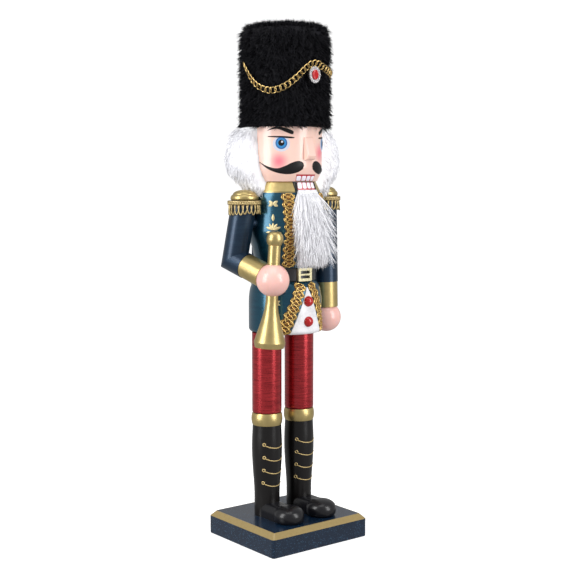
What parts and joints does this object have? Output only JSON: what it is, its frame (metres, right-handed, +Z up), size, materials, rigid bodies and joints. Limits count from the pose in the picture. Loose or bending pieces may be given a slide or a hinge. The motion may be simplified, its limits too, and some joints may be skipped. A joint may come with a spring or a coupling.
{
  "type": "nutcracker figure",
  "caption": "Turned and painted wooden nutcracker bugler on a square plinth, with a fur hat, white fur hair and beard, a horn in its right hand and a jaw worked by a lever down its back",
  "frame": {"origin": "centre of the plinth's underside, on the surface it stands on", "axes": "+Z up; the figure faces -Y; its right hand, with the horn, is on the -X side"},
  "size_m": [0.1006, 0.0815, 0.38],
  "materials": {
    "plinth_navy": "dark navy paint with a fine shimmer under gloss lacquer, gold bevel",
    "steel": "zinc-plated screw and pin",
    "raw_wood": "unpainted beech dowel",
    "boot_black": "satin black paint",
    "shoe_black": "gloss black paint",
    "gold_paint": "satin gold paint",
    "trouser_red": "metallic red paint with fine glitter bands",
    "coat_blue": "metallic teal-navy paint under gloss lacquer",
    "sleeve_blue": "satin slate-navy metallic paint",
    "belt_black": "satin black paint",
    "buckle_gold": "pale gold plate",
    "skin": "gloss peach paint",
    "hand_pink": "satin pink-peach paint",
    "braid_gold": "woven metallic gold gimp braid",
    "fringe_gold": "looped metallic gold cord fringe",
    "panel_white": "white glitter felt",
    "gem_red": "clear red acrylic gem",
    "white_fur": "long white faux fur",
    "hat_card": "plain turned block, hidden by the fur",
    "black_fur": "short dense black faux fur",
    "chain_gold": "polished gold-coloured curb chain",
    "badge_silver": "rhinestone setting",
    "jaw_paint": "coat paint, with painted lip and teeth at the top of the front"
  },
  "bodies": {
    "figure": {"base_plinth": "plinth_navy", "leg_screws": "steel", "boot_left": "boot_black", "boot_right": "boot_black", "shoe_left": "shoe_black", "shoe_right": "shoe_black", "knee_band_left": "gold_paint", "knee_band_right": "gold_paint", "thigh_left": "trouser_red", "thigh_right": "trouser_red", "leg_dowels": "raw_wood", "skirt": "coat_blue", "belt": "belt_black", "waist_dowel": "raw_wood", "belt_buckle": "buckle_gold", "chest": "coat_blue", "jaw_pivot_pin": "steel", "collar": "gold_paint", "neck_dowels": "raw_wood", "head": "skin", "head_dowel": "raw_wood", "nose": "skin", "chest_braid_left": "braid_gold", "chest_braid_right": "braid_gold", "skirt_braid_left": "braid_gold", "skirt_braid_right": "braid_gold", "front_panel": "panel_white", "gem_buttons": "gem_red", "hair": "white_fur", "hat_core": "hat_card", "hat_fur": "black_fur", "hat_chain": "chain_gold", "hat_badge": "badge_silver", "badge_gem": "gem_red", "upper_arm_right": "sleeve_blue", "forearm_right": "sleeve_blue", "cuff_right": "gold_paint", "hand_right": "hand_pink", "horn_mouthpiece": "gold_paint", "horn_bell": "gold_paint", "sleeve_left": "sleeve_blue", "cuff_left": "gold_paint", "hand_left": "hand_pink", "shoulder_dowels": "sleeve_blue", "epaulette_left": "gold_paint", "epaulette_right": "gold_paint", "fringe_left": "fringe_gold", "fringe_right": "fringe_gold"},
    "jaw": {"jaw_lever": "jaw_paint", "beard": "white_fur"}
  },
  "joints": [
    {"name": "jaw_hinge", "type": "hinge", "parent": "figure", "child": "jaw", "pos_m": [0, 0.005, 0.249], "axis": [1, 0, 0], "range_deg": [0, 16], "deforming": ["beard"]}
  ]
}
